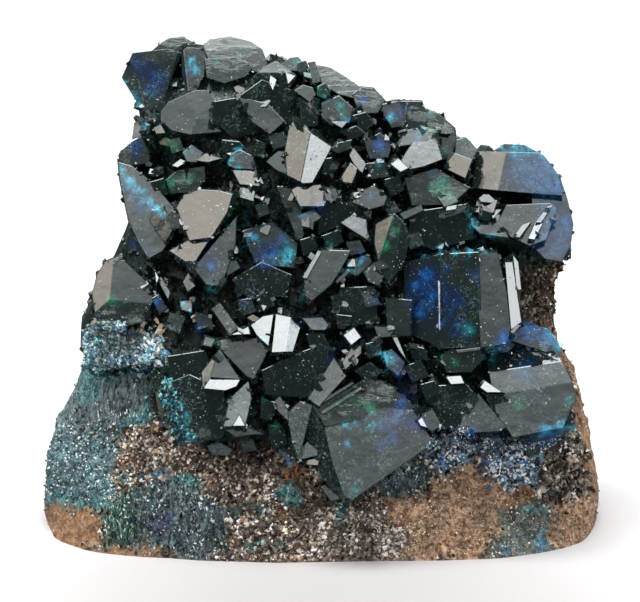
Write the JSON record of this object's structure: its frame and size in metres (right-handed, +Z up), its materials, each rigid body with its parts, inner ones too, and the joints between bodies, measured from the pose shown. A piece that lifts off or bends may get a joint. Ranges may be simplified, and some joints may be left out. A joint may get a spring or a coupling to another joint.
{
  "type": "lazulite crystal specimen on matrix",
  "caption": "Cluster of faceted dark blue lazulite crystals grown on the leaning face of a broken brown rock that stands on its flat underside.",
  "frame": {"origin": "middle of the bounding box at the underside, which lies on Z = 0", "axes": "+Z up; the crystal-covered face looks towards -Y and leans back; X runs across the face"},
  "size_m": [0.0724, 0.0464, 0.0633],
  "materials": {
    "matrix_rock": "broken granular brown rock with druse",
    "lazulite": "glassy, near-black blue crystal faces"
  },
  "bodies": {
    "root": {"matrix": "matrix_rock", "lazulite_cluster": "lazulite"}
  },
  "joints": []
}
